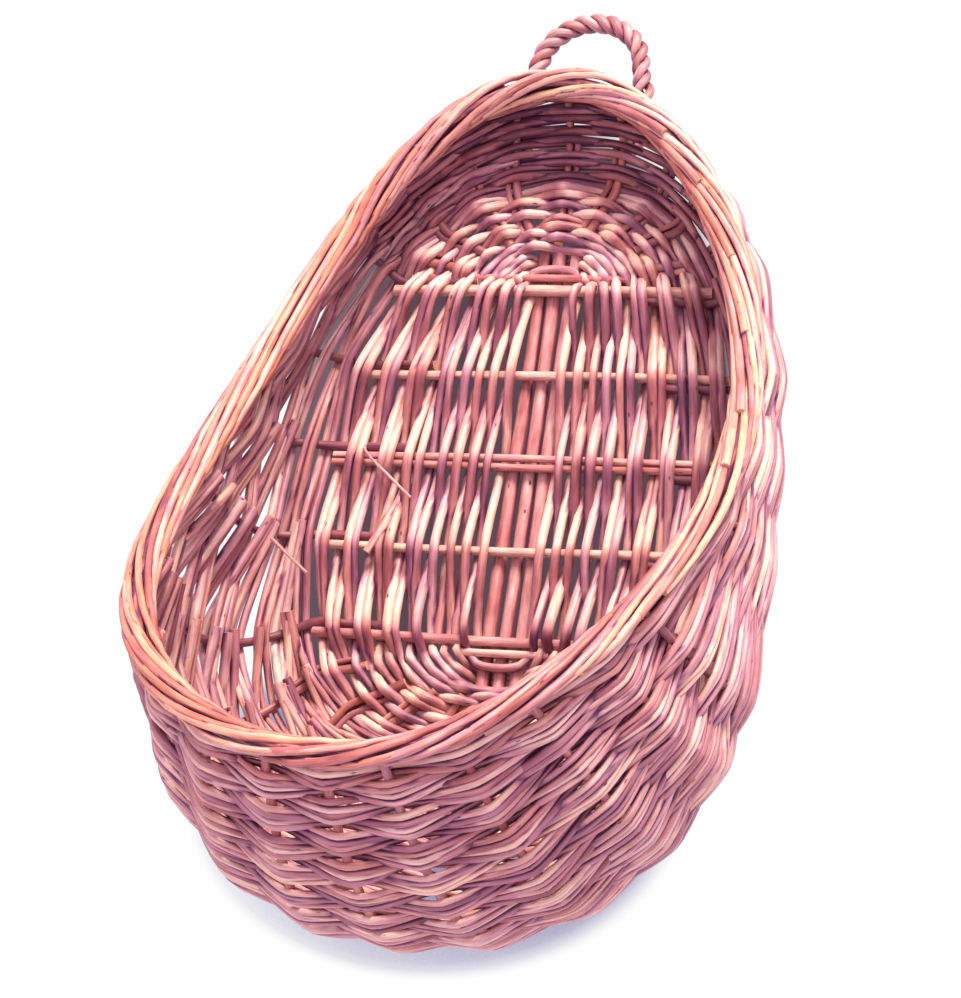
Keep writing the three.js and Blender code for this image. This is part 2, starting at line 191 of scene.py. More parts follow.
def bent(knots, step=5.0, ease=1.0):
    """Line through the knots with points about a step apart, and each point's place counted in knots.
    A low ease keeps it straight between the knots and bends it close to them."""
    knots = np.asarray(knots, float)
    spans = np.diff(knots, axis=0)
    reach = np.linalg.norm(spans, axis=1)
    unit = spans / reach[:, None]
    slope = np.vstack([unit[:1], (unit[:-1] * reach[1:, None] + unit[1:] * reach[:-1, None])
                       / (reach[1:] + reach[:-1])[:, None], unit[-1:]])
    points, counts = [], []
    for i, length in enumerate(reach):
        t = np.linspace(0, 1, max(2, int(np.ceil(length / step))), endpoint=False)[:, None]
        arm = length * ease
        points.append((2 * t**3 - 3 * t**2 + 1) * knots[i] + (t**3 - 2 * t**2 + t) * arm * slope[i]
                      + (3 * t**2 - 2 * t**3) * knots[i + 1] + (t**3 - t**2) * arm * slope[i + 1])
        counts.append(i + t[:, 0])
    return np.vstack(points + [knots[-1:]]), np.concatenate(counts + [[len(knots) - 1.0]])


def rod(points, radius, tone, tint, painted_light_and_wear=0.0):
    """One willow rod along a line: its radius and its painted light and rubbing may change on the way, and both ends
    are cut.
    """
    points = np.asarray(points, float)
    count = len(points)
    radius = np.broadcast_to(radius, count)
    painted_light_and_wear = np.broadcast_to(painted_light_and_wear, count)
    lip = 0.25  # mm of bark that take up the colour of the cut
    first = points[0] + (points[1] - points[0]) * lip / np.linalg.norm(points[1] - points[0])
    last = points[-1] + (points[-2] - points[-1]) * lip / np.linalg.norm(points[-2] - points[-1])
    points = np.vstack([points[:1], first, points[1:-1], last, points[-1:]])
    order = np.r_[0, np.arange(count), count - 1]
    gaps = np.linalg.norm(np.diff(points, axis=0), axis=1)
    cut = np.zeros(count + 2)
    cut[[0, -1]] = 1
    return {"points": points, "rod_radius": radius[order] / 1000, "painted_light_and_wear": painted_light_and_wear[order], "cut": cut,
            "along": np.r_[0, np.cumsum(gaps)], "tone": np.full(count + 2, tone), "tint": np.full(count + 2, tint)}


# One tree turns every line of the basket into a rod: round in section, a little uneven, with flat cut ends.
# It also marks the narrow places, where the next rod is closer than the depth of a crevice, to be given painted shade
# there.
lump_length = 0.011
crevice_depth = 0.004
off_skin = 0.0002
rods_tree = bpy.data.node_groups.new("willow_rods", "GeometryNodeTree")
ports = rods_tree.interface
ports.new_socket("Lines", in_out="INPUT", socket_type="NodeSocketGeometry")
sides_port = ports.new_socket("Sides", in_out="INPUT", socket_type="NodeSocketInt")
swell_port = ports.new_socket("Swell", in_out="INPUT", socket_type="NodeSocketFloat")
bark_port = ports.new_socket("Bark", in_out="INPUT", socket_type="NodeSocketMaterial")
ports.new_socket("Rods", in_out="OUTPUT", socket_type="NodeSocketGeometry")
given = add(rods_tree, "NodeGroupInput")
lines = add(rods_tree, "GeometryNodeMeshToCurve", {"Mesh": given.outputs["Lines"]})
section = add(rods_tree, "GeometryNodeCurvePrimitiveCircle", {"Resolution": given.outputs["Sides"], "Radius": 1.0})
where = add(rods_tree, "GeometryNodeInputPosition")
marked = add(rods_tree, "GeometryNodeStoreNamedAttribute",
             {"Geometry": section.outputs["Curve"], "Name": "side", "Value": where.outputs[0]},
             data_type="FLOAT_VECTOR", domain="POINT")
thickness = add(rods_tree, "GeometryNodeInputNamedAttribute", {"Name": "rod_radius"}, data_type="FLOAT")
tubes = add(rods_tree, "GeometryNodeCurveToMesh",
            {"Curve": lines.outputs[0], "Profile Curve": marked.outputs[0],
             "Scale": thickness.outputs["Attribute"], "Fill Caps": True})
lumps = add(rods_tree, "ShaderNodeTexNoise", {"Scale": 1 / lump_length, "Detail": 1.0})
centred = add(rods_tree, "ShaderNodeMath", {0: lumps.outputs[0], 1: 0.5}, operation="SUBTRACT")
height = add(rods_tree, "ShaderNodeMath", {0: centred.outputs[0], 1: given.outputs["Swell"]}, operation="MULTIPLY")
outward = add(rods_tree, "GeometryNodeInputNormal")
push = add(rods_tree, "ShaderNodeVectorMath", {0: outward.outputs["Normal"], "Scale": height.outputs[0]},
           operation="SCALE")
uneven = add(rods_tree, "GeometryNodeSetPosition", {"Geometry": tubes.outputs[0], "Offset": push.outputs[0]})
corners = add(rods_tree, "GeometryNodeInputMeshFaceNeighbors")
bark_faces = add(rods_tree, "FunctionNodeCompare", {2: corners.outputs["Vertex Count"], 3: 4},
                 data_type="INT", operation="EQUAL")
smooth = add(rods_tree, "GeometryNodeSetShadeSmooth",
             {"Geometry": uneven.outputs[0], "Selection": bark_faces.outputs[0], "Shade Smooth": True})
off_bark = add(rods_tree, "ShaderNodeVectorMath",
               {0: outward.outputs["Normal"], 1: (off_skin, off_skin, off_skin), 2: where.outputs[0]},
               operation="MULTIPLY_ADD")
next_rod = add(rods_tree, "GeometryNodeRaycast",
               {"Target Geometry": uneven.outputs[0], "Source Position": off_bark.outputs[0],
                "Ray Direction": outward.outputs["Normal"], "Ray Length": crevice_depth})
closeness = add(rods_tree, "ShaderNodeMapRange",
                {"Value": next_rod.outputs["Hit Distance"], "From Max": crevice_depth, "To Min": 1.0, "To Max": 0.0})
crevice = add(rods_tree, "ShaderNodeMath", {0: next_rod.outputs["Is Hit"], 1: closeness.outputs[0]},
              operation="MULTIPLY")
creviced = add(rods_tree, "GeometryNodeStoreNamedAttribute",
               {"Geometry": smooth.outputs[0], "Name": "crevice", "Value": crevice.outputs[0]},
               data_type="FLOAT", domain="POINT")
solid = add(rods_tree, "GeometryNodeRealizeInstances", {"Geometry": creviced.outputs[0]})
finished = add(rods_tree, "GeometryNodeSetMaterial", {"Geometry": solid.outputs[0], "Material": given.outputs["Bark"]})
add(rods_tree, "NodeGroupOutput", {"Rods": finished.outputs[0]})


def lay_rods(name, rods, material, nodes, sides=8, swell=0.35):
    """Makes the mesh of a group of rods and puts it in place of its solids."""
    starts = np.cumsum([0] + [len(each["points"]) for each in rods])
    edges = np.vstack([np.stack([np.arange(a, b - 1), np.arange(a + 1, b)], -1)
                       for a, b in zip(starts[:-1], starts[1:])])
    mesh = bpy.data.meshes.new(name + "_lines")
    mesh.from_pydata(place(np.vstack([each["points"] for each in rods])), edges, [])
    for key in ("rod_radius", "painted_light_and_wear", "cut", "along", "tone", "tint"):
        values = mesh.attributes.new(key, "FLOAT", "POINT")
        values.data.foreach_set("value", np.concatenate([each[key] for each in rods]).astype(np.float32))
    piece = bpy.data.objects.new(name, mesh)
    scene.collection.objects.link(piece)
    maker = piece.modifiers.new("rods", "NODES")
    maker.node_group = rods_tree
    maker[sides_port.identifier] = sides
    maker[swell_port.identifier] = swell / 1000
    maker[bark_port.identifier] = material
    made = bpy.data.meshes.new_from_object(piece.evaluated_get(bpy.context.evaluated_depsgraph_get()))
    piece.modifiers.remove(maker)
    piece.data = made
    bpy.data.meshes.remove(mesh)
    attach(piece, "root")
    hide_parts(*nodes)


def stained_willow(name, warm, cool, roughness):
    """Willow bark stained a thin red: blotched along the rod, streaked with the grain, dotted with buds,
    lighter or darker with painted light and rubbing, darker and purpler with painted shade in crevices, pale wood at a
    cut."""
    material = bpy.data.materials.new(name)
    material.use_nodes = True
    tree = material.node_tree
    shader = tree.nodes["Principled BSDF"]
    tone, tint, painted_light_and_wear, along, cut, crevice = [
        add(tree, "ShaderNodeAttribute", attribute_name=key).outputs["Fac"]
        for key in ("tone", "tint", "painted_light_and_wear", "along", "cut", "crevice")]
    side = add(tree, "ShaderNodeAttribute", attribute_name="side").outputs["Vector"]

    def weighed(value, weight, extra):
        """The value times its weight, plus an extra."""
        return add(tree, "ShaderNodeMath", {0: value, 1: weight, 2: extra}, operation="MULTIPLY_ADD").outputs[0]

    def pattern_at(often, length):
        """Place on the bark for a pattern this often round the rod and this many mm long."""
        scale = (often, often, 1 / length)
        return add(tree, "ShaderNodeVectorMath", {0: bark, 1: scale}, operation="MULTIPLY").outputs[0]

    def over_streaks(low, high):
        """A value from low between the streaks to high on them."""
        return add(tree, "ShaderNodeMapRange", {"Value": streak, "From Min": 0.3, "From Max": 0.7,
                                                "To Min": low, "To Max": high}).outputs[0]

    # Tone and tint take each rod to its own part of the patterns
    shift_x = add(tree, "ShaderNodeMath", {0: tone, 1: 143.0}, operation="MULTIPLY").outputs[0]
    shift_y = add(tree, "ShaderNodeMath", {0: tint, 1: 97.0}, operation="MULTIPLY").outputs[0]
    start = add(tree, "ShaderNodeCombineXYZ", {0: shift_x, 1: shift_y, 2: along}).outputs[0]
    bark = add(tree, "ShaderNodeVectorMath", {0: side, 1: start}, operation="ADD").outputs[0]
    # Blotches about 22 mm long, streaks about 9 mm long and half a millimetre wide, a bud scar in one cell of five
    blotch = add(tree, "ShaderNodeTexNoise", {"Vector": pattern_at(0.6, 22), "Scale": 1.0, "Detail": 3.0}).outputs[0]
    streak = add(tree, "ShaderNodeTexNoise", {"Vector": pattern_at(2.6, 9), "Scale": 1.0, "Detail": 3.0}).outputs[0]
    buds = add(tree, "ShaderNodeTexVoronoi", {"Vector": pattern_at(0.9, 8), "Scale": 1.0})
    rare = add(tree, "ShaderNodeMath", {0: buds.outputs["Color"], 1: 0.8}, operation="GREATER_THAN").outputs[0]
    # Painted light and rubbing: the value that each rod carries lightens or darkens the ramp, together with the
    # blotches.
    blotch_wear_and_painted_light = weighed(painted_light_and_wear, 0.34, weighed(blotch, 1.1, -0.55))
    # Painted shade: the rod's tone goes darker, and its tint purpler, where the crevice mark says the next rod is
    # close.
    stain_and_painted_crevice_shade = weighed(crevice, -0.8, tone)
    shade = add(tree, "ShaderNodeMath", {0: stain_and_painted_crevice_shade, 1: blotch_wear_and_painted_light}, operation="ADD").outputs[0]
    shaded = weighed(crevice, 0.6, tint)
    mottle = weighed(streak, 1.2, -0.6)
    purple = add(tree, "ShaderNodeMath", {0: shaded, 1: mottle}, operation="ADD", use_clamp=True).outputs[0]
    ramps = []
    for colours in (warm, cool):
        ramp = add(tree, "ShaderNodeValToRGB", {"Fac": shade})
        stops = ramp.color_ramp.elements
        for at in np.linspace(0, 1, len(colours))[1:-1]:
            stops.new(at)
        for stop, colour in zip(stops, colours):
            stop.color = linear(colour)
        ramps.append(ramp.outputs["Color"])
    stained = mixed(tree, purple, *ramps)
    streaked = mixed(tree, 0.7, stained, over_streaks(0.5, 1.15), "MULTIPLY")
    bud_scars = add(tree, "ShaderNodeMapRange",
                    {"Value": buds.outputs["Distance"], "From Min": 0.2, "From Max": 0.1}).outputs[0]
    scar = add(tree, "ShaderNodeMath", {0: bud_scars, 1: rare}, operation="MULTIPLY").outputs[0]
    budded = mixed(tree, scar, streaked, linear("#4C2428"))
    cut_wood = mixed(tree, cut, budded, linear("#D8AE86"))
    rough = over_streaks(roughness + 0.12, roughness - 0.06)
    relief = weighed(scar, 0.8, streak)
    bump = add(tree, "ShaderNodeBump", {"Strength": 0.6, "Distance": 0.00035, "Height": relief}).outputs[0]
    for key, value in {"Base Color": cut_wood, "Roughness": rough, "Normal": bump}.items():
        tree.links.new(value, shader.inputs[key])
    shader.inputs["IOR"].default_value = 1.5
    return material


stick_willow = stained_willow("stained_willow_sticks", ["#7A3236", "#AE5C58", "#D28D82", "#EEC4AE"],
                              ["#653048", "#9C5868", "#C48890", "#ECC2B2"], 0.42)
chance = np.random.default_rng(11)
sticks = []
for i in range(3):
    u = (i - 1) * long_spacing
    v = np.linspace(-long_reach, long_reach, 24)
    sway = long_sway * np.sin(v / long_sway_length + 2.1 * i)
    line = np.stack([u + sway, v, np.full_like(v, long_level)], -1)
    sticks.append(rod(line, long_radius - long_thinning * v * (-1) ** i, 0.52 + 0.08 * i, chance.uniform(0.2, 0.5)))
lay_rods("long_sticks", sticks, stick_willow, ["long_stick_1", "long_stick_2", "long_stick_3"],
         sides=14)

# Five rows of cross sticks lie over the long sticks and reach from edge to edge of the base.
# The middle row is a pair of thin rods, and a short spare rod lies beside the first row and the last.
row_heights = row_reach * np.array([1.0, 0.5, 0.0, -0.5, -1.0])
row_radii = [2.9, 2.3, 1.9, 2.3, 2.6]
row_tones = [0.72, 0.74, 0.6, 0.8, 0.5]
pair_shift = 2.05
base_half_width, base_half_length, base_taper, base_exponent = 101.0, 146.0, 0.15, 0.75


def egg(angle, half_width, half_length, taper, exponent):
    """Outline of the basket, narrower at the head."""
    c, s = np.cos(angle), np.sin(angle)
    u = half_width * np.sign(c) * np.abs(c) ** exponent * (1 - taper * s)
    return u, half_length * np.sign(s) * np.abs(s) ** exponent


def base_edge(angle):
    """Point of the base's edge."""
    return np.array(egg(angle, base_half_width, base_half_length, base_taper, base_exponent))


def edge_angle(v, side):
    """Angle at which the right or left base edge has a given height."""
    s = np.sign(v) * (np.abs(v) / base_half_length) ** (1 / base_exponent)
    return np.arcsin(s) if side > 0 else np.pi - np.arcsin(s)


def straight_stick(start, end, v, radius, tone, tint):
    """A cross stick from start to end, a little bowed."""
    u = np.linspace(start, end, 22)
    bow = 0.4 * np.sin(u / 33 + v)
    return rod(np.stack([u, v + bow, np.full_like(u, stake_level)], -1), radius, tone, tint, 0.3)


sticks = []
for v, radius, tone in zip(row_heights, row_radii, row_tones):
    for shift in ([pair_shift, -pair_shift] if v == 0 else [0.0]):
        reach = base_edge(edge_angle(v, 1))[0]
        sticks.append(straight_stick(-reach, reach, v + shift, radius, tone + 0.05 * shift, chance.uniform(0, 0.4)))
sticks.append(straight_stick(-74.0, 38.0, v=96.6, radius=2.1, tone=0.35, tint=0.1))
sticks.append(straight_stick(-22.0, 25.0, v=-95.6, radius=1.9, tone=0.8, tint=0.2))
lay_rods("cross_sticks", sticks, stick_willow,
         ["cross_stick_1", "cross_stick_2", "cross_stick_3_upper", "cross_stick_3_lower", "cross_stick_4",
          "cross_stick_5"], sides=12)

# Stakes of thicker willow are pushed into the base, bent up and held by the weaving.
# Side stakes lie beside the ends of the cross sticks, and the rest spread like a fan at the head and the foot.
# Each stake of the fans has a short thin rod beside it.
cross_radius, stake_radius, stake_gap = 2.6, 2.2, 0.3
stake_butt_radius, stake_thinning = 2.35, 0.35
fan_stakes = 9
fan_grip, side_grip, twin_grip = (22, 34), (30, 42), (18, 30)
twin_gap, twin_radius = 4.3, 1.75
stake_top_gap = 3
rim_half_width, rim_half_length, rim_taper, rim_exponent, rim_drop = 126.0, 192.0, 0.16, 0.95, 5.0
head_rim, foot_rim, rim_sweep = 47.0, 205.0, 1.6
# How far the wall bulges out low down and high up
side_bulge, foot_bulge, head_bulge = np.array([[40, 3], [110, 92], [28, 10]])
low_share, high_share = 0.04, 0.45
wall_steps = 200


def rim_edge(angle):
    """Point of the rim, which stands out far from the wall at the foot and little at the head."""
    u, v = egg(angle, rim_half_width, rim_half_length, rim_taper, rim_exponent)
    sunk = np.clip((rim_half_length - v) / (2 * rim_half_length), 0, 1) ** rim_sweep
    return np.array([u, v - rim_drop, head_rim + (foot_rim - head_rim) * sunk**2 * (3 - 2 * sunk)])


def shared_angles(start, end, count):
    """Angles that share out the wall evenly, halfway between base edge and rim."""
    angles = np.linspace(start, end, 241)
    middle = (base_edge(angles) + rim_edge(angles)[:2]) / 2
    run = np.r_[0, np.cumsum(np.hypot(*np.diff(middle, axis=1)))]
    return np.interp(run[-1] * np.arange(1, count + 1) / (count + 1), run, angles)


def wall_line(angle):
    """Line of a stake up the wall, from the base edge to the rim, in even steps, and its length."""
    c, s = np.cos(angle), np.sin(angle)
    foot, head = max(-s, 0) ** 2, max(s, 0) ** 2
    low, high = (1 - foot - head) * side_bulge + foot * foot_bulge + head * head_bulge
    base, rim = base_edge(angle), rim_edge(angle)
    rise = rim[2] - stake_level
    controls = np.array([[*base, stake_level],
                         [base[0] + low * c, base[1] + low * s, stake_level + low_share * rise],
                         [rim[0] + high * c, rim[1] + high * s, stake_level + high_share * rise], rim])
    t = np.linspace(0, 1, 2 * wall_steps)[:, None]
    line = ((1 - t)**3 * controls[0] + 3 * (1 - t)**2 * t * controls[1]
            + 3 * (1 - t) * t**2 * controls[2] + t**3 * controls[3])
    run = np.r_[0, np.cumsum(np.linalg.norm(np.diff(line, axis=0), axis=1))]
    even = np.linspace(0, run[-1], wall_steps + 1)
    return np.stack([np.interp(even, run, line[:, i]) for i in range(3)], -1), run[-1]


stake_shift = [cross_radius + stake_gap + stake_radius] * 5
stake_shift[2] = pair_shift + row_radii[2] + stake_gap + stake_radius
head_angles = shared_angles(edge_angle(row_reach, 1), edge_angle(row_reach, -1), fan_stakes)
foot_angles = shared_angles(edge_angle(-row_reach, -1), edge_angle(-row_reach, 1) + 2 * np.pi, fan_stakes)
stakes = []
for row in (4, 3, 2, 1, 0):
    v = row_heights[row] - stake_shift[row]
    stakes.append((f"right_stake_{row + 1}", edge_angle(v, 1), v))
stakes += [(f"head_stake_{i + 1}", angle, None) for i, angle in enumerate(head_angles)]
for row in range(5):
    v = row_heights[row] + stake_shift[row]
    stakes.append((f"left_stake_{row + 1}", edge_angle(v, -1), v))
stakes += [(f"foot_stake_{i + 1}", angle, None) for i, angle in enumerate(foot_angles)]
stake_count = len(stakes)
wall_lines = [wall_line(angle) for _, angle, _ in stakes]
wall = np.array([line for line, _ in wall_lines])
wall_length = np.array([length for _, length in wall_lines])
wall_along = np.gradient(wall, axis=1)
wall_along /= np.linalg.norm(wall_along, axis=2, keepdims=True)
wall_out = np.cross(np.roll(wall, -1, 0) - np.roll(wall, 1, 0), wall_along)
wall_out /= np.linalg.norm(wall_out, axis=2, keepdims=True)


def on_wall(k, height, offset):
    """Point on the wall at stake k, at a height in mm above the base edge and an offset out from the stake's middle."""
    at = np.clip(height / wall_length[k] * wall_steps, 0, wall_steps - 0.001)
    i, part = int(at), at - int(at)
    point = wall[k, i] * (1 - part) + wall[k, i + 1] * part
    return point + offset * (wall_out[k, i] * (1 - part) + wall_out[k, i + 1] * part)


chance = np.random.default_rng(23)
stake_tones = chance.uniform(0.2, 0.45, stake_count) + [0.0 if v else 0.25 for _, _, v in stakes]
stake_tints = chance.uniform(0.0, 0.7, stake_count)
stake_rods = []
stake_grip = np.zeros(stake_count)
for k, (_, angle, v) in enumerate(stakes):
    edge = base_edge(angle)
    if v is None:
        hub = np.array([0, np.sign(edge[1]) * row_reach])
        spoke = np.linalg.norm(edge - hub)
        stake_grip[k] = chance.uniform(*fan_grip)
        inner = hub + (edge - hub) * (1 - stake_grip[k] / spoke)
    else:
        stake_grip[k] = chance.uniform(*side_grip)
        inner = np.array([edge[0] - np.sign(edge[0]) * stake_grip[k], v])
    heights = np.linspace(6, wall_length[k] - stake_top_gap, max(6, int(wall_length[k] / 11)))
    line = np.vstack([[*inner, stake_level], [*(inner + edge) / 2, stake_level], [*edge, stake_level],
                      [on_wall(k, h, 0) for h in heights]])
    line, count = bent(line)
    radius = stake_butt_radius - stake_thinning * count / count[-1]
    stake_rods.append(rod(line, radius, stake_tones[k], stake_tints[k]))
    if v is None:
        across = np.array([edge[1] - hub[1], hub[0] - edge[0]]) / spoke * twin_gap * (1 if k % 2 else -1)
        shares = np.linspace(1 - chance.uniform(*twin_grip) / spoke, 0.99, 5)
        twin = [[*(hub + (edge - hub) * share + across), stake_level] for share in shares]
        twin += [on_wall(k, height, 0) + np.array([*across, 0]) for height in (6.0, 12.0, 18.0, 24.0)]
        stake_rods.append(rod(bent(twin)[0], twin_radius, chance.uniform(0.4, 0.8), chance.uniform(0, 0.7)))
stake_willow = stained_willow("stained_willow_stakes", ["#56222A", "#8C4342", "#BC6F60", "#DFA488"],
                              ["#48243A", "#784258", "#A56E80", "#CF9C98"], 0.45)
lay_rods("stakes", stake_rods, stake_willow, [name for name, _, _ in stakes])

# The base is filled with thin willow weavers that pass in front of one cross stick and behind the next, singly near the
# middle and in pairs near the edge. Most run round the whole base, the others end where the fans begin.
# A loose weaver end and two thin twigs lie on the left.
weaver_radius, weaver_pitch, weaver_gap, wall_gap = 2.3, 4.0, 0.15, 0.4
first_weaver = 14.2
weaver_count, short_weavers = 22, (3, 5, 8, 11, 14, 17, 19)
single_weavers = 8
rings = weaver_count - len(short_weavers)
weave_ease = 0.6
# The fans begin and end at these shares of a spoke, and are woven flatter
fan_start, fan_end, fan_flatness = 0.13, 0.985, 0.75
row_relief, fan_relief, bare_relief = 2.1, 2.3, 0.2
beside_long_sticks, over_long_sticks = 11.0, 14
chance = np.random.default_rng(37)
base_rods = []
ring = -1
for i in range(weaver_count):
    whole = i not in short_weavers
    ring += whole
    crossing = i if i < single_weavers else (i + single_weavers) // 2
    thick = weaver_radius * chance.uniform(0.86, 1.14)
    knots, radii, joins = [], [], []
    for k, (name, angle, v) in enumerate(stakes):
        edge = base_edge(angle)
        if v is not None:
            row = int(name[-1]) - 1
            hub = np.array([0.0, row_heights[row]])
            edge = np.array([base_edge(edge_angle(row_heights[row], np.sign(edge[0])))[0], row_heights[row]])
            order, clear_of, bare, relief = row + 1, max(row_radii[row], row_relief), False, 1
            share = (first_weaver + weaver_pitch * i) / base_half_width
        else:
            hub = np.array([0.0, np.sign(edge[1]) * row_reach])
            order, clear_of, relief = int(name[-1]) - 1, fan_relief, fan_flatness
            share = fan_start + (fan_end - fan_start) * (ring + 0.5 * (not whole)) / (rings - 1)
            bare = np.linalg.norm(edge - hub) * (1 - share) > stake_grip[k] + 2
        point = hub + (edge - hub) * (share + chance.normal(0, 0.006))
        front = 1 if (order + crossing) % 2 == 0 else -1
        offset = front * (clear_of + thick + weaver_gap) * relief
        if bare and abs(point[0]) < over_long_sticks and abs(point[1]) < long_reach:
            if abs(edge[0]) < 1:
                rise = (long_radius + thick + weaver_gap) * (1 if crossing % 2 else -1)
                for u in np.sign(edge[1]) * np.array([beside_long_sticks, -beside_long_sticks]):
                    knots.append([u, point[1], long_level + rise])
                    radii.append(thick)
            continue
        if front < 0 and not bare:
            joins.append(len(knots))
        knots.append([*point, stake_level + (bare_relief * offset if bare else offset)])
        radii.append(thick * chance.uniform(0.92, 1.08))
    if whole:
        start = int(chance.choice(joins))
        runs = [[(start + step) % len(knots) for step in range(len(knots) + 1)]]
    else:
        up_right, down_left = range(-1, 6), range(7)
        runs = [list(up_right), [len(knots) - fan_stakes - 6 + step for step in down_left]]
    for run in runs:
        path = np.array([knots[step] for step in run])
        if whole:
            path[-1, 2] -= 2 * thick
        else:
            path[[0, -1], 2] = stake_level - fan_relief - thick
        line, count = bent(path, ease=weave_ease)
        wide = np.interp(count, np.arange(len(run)), [radii[step] for step in run])
        line[:, 2] = np.maximum(line[:, 2], wide + wall_gap)
        along = np.gradient(line, axis=0)
        # Painted light: where a weaver in front of the sticks slopes to face the head, where the daylight comes from,
        # it is made lighter, and where it faces the foot, darker. The rods of the fans are also made lighter.
        tilt = -along[:, 2] * np.sign(along[:, 1]) / np.linalg.norm(along, axis=1)
        in_front = np.clip((line[:, 2] - stake_level + 3) / 5, 0, 1)
        in_fan = np.abs(line[:, 1]) > row_reach + 7
        painted_light_and_wear = in_front * np.clip(5 * tilt, -1, 1) + 0.3 * in_fan
        base_rods.append(rod(line, wide, chance.uniform(0.48, 0.8), chance.uniform(0.05, 0.6), painted_light_and_wear))
loose_end = [[-73, -50, 19.5], [-69, -41, 19.0], [-63, -22, 14.0], [-59, 0, 8.4], [-58, 14, 8.0]]
upper_twig = [[-84, 6, 17.0], [-81.3, 1.6, 21.5], [-66, -12, 22.0], [-54, -21.9, 21.5]]
lower_twig = [[-117, -50, 36.0], [-114.6, -51.8, 34.0], [-107, -58, 30.0], [-100.9, -63, 24.0]]
for path, thick in ((loose_end, 2.2), (upper_twig, 0.7), (lower_twig, 0.9)):
    base_rods.append(rod(bent(path, 4.0)[0], thick, 0.62, 0.3, 0.4))
weaver_willow = stained_willow("stained_willow_weavers", ["#6E2E38", "#AA605E", "#D29282", "#F2CEB0"],
                               ["#562B4A", "#865272", "#B27E9A", "#DEB2B4"], 0.45)
lay_rods("base_weaving", base_rods, weaver_willow, [f"base_round_{i + 1}" for i in range(6)])

# The wall is slewed: bands of willow weavers pass outside one stake and inside the next, pressed a little into both.
# A third of the bands run all the way round. The others only fill the sides and the foot, where the wall is high.
# A band has one rod at the head, up to three at the sides and up to four at the foot, bunched on the inside.
side_bands = 30
whole_bands = [band for band in range(side_bands) if band % 6 in (0, 5)]
most_abreast = 4
upsett, border_seat = 0.8, 5.2
head_turn, behind_head = 12, range(5, 15)
# Stakes between which the other bands start and end
long_fill, short_fill = ((17, 21), (27, 31)), ((19, 22), (25, 29))
head_thinnest, side_thinnest, foot_thinnest, thickest = 2.05, 1.85, 1.6, 2.1
butt_swell = (1.3, 1.2, 1.1)
# Rods of a band lie side by side, or closer and in two layers where they are bunched, in rod radii
beside_lift, bunch_lift, bunch_depth = 2.06, 1.1, 1.5
chance = np.random.default_rng(41)
side_rods = []
band_share = np.ones((side_bands, stake_count))
for band in range(side_bands):
    if band not in whole_bands:
        early, late = long_fill if band % 6 in (1, 4) else short_fill
        start, end = chance.integers(*early), chance.integers(*late)
        band_share[band] = [start <= (k if k > 9 else k + stake_count) <= end for k in range(stake_count)]
# At each stake: the height that one rod takes up, and how far rods keep off the stake outside and inside
each_stake = np.arange(stake_count)
usual_pitch = np.interp(each_stake, [0, 4, 6, 12, 15, 18, 20, 27], [3.4, 3.4, 2.3, 2.3, 4.8, 4.9, 1.9, 1.9])
outside_lean = np.interp(each_stake, [0, 12, 14, 18, 20, 27], [0.6, 0.6, 1.0, 1.0, 0.7, 0.65])
inside_lean = np.interp(each_stake, [0, 12, 14, 23, 26, 27], [0.7, 0.65, 1.0, 1.0, 0.75, 0.7])
band_top = np.cumsum(band_share, 0)
band_height = band_share * (wall_length - upsett - border_seat) / band_top[-1]
band_middle = upsett + (band_top - band_share / 2) * (wall_length - upsett - border_seat) / band_top[-1]


def end_shows(turn, band):
    """Whether a rod that ends at this stake would show its end: outside the wall, or inside the head."""
    inside = (turn + band) % 2
    return inside == (turn % stake_count in behind_head)


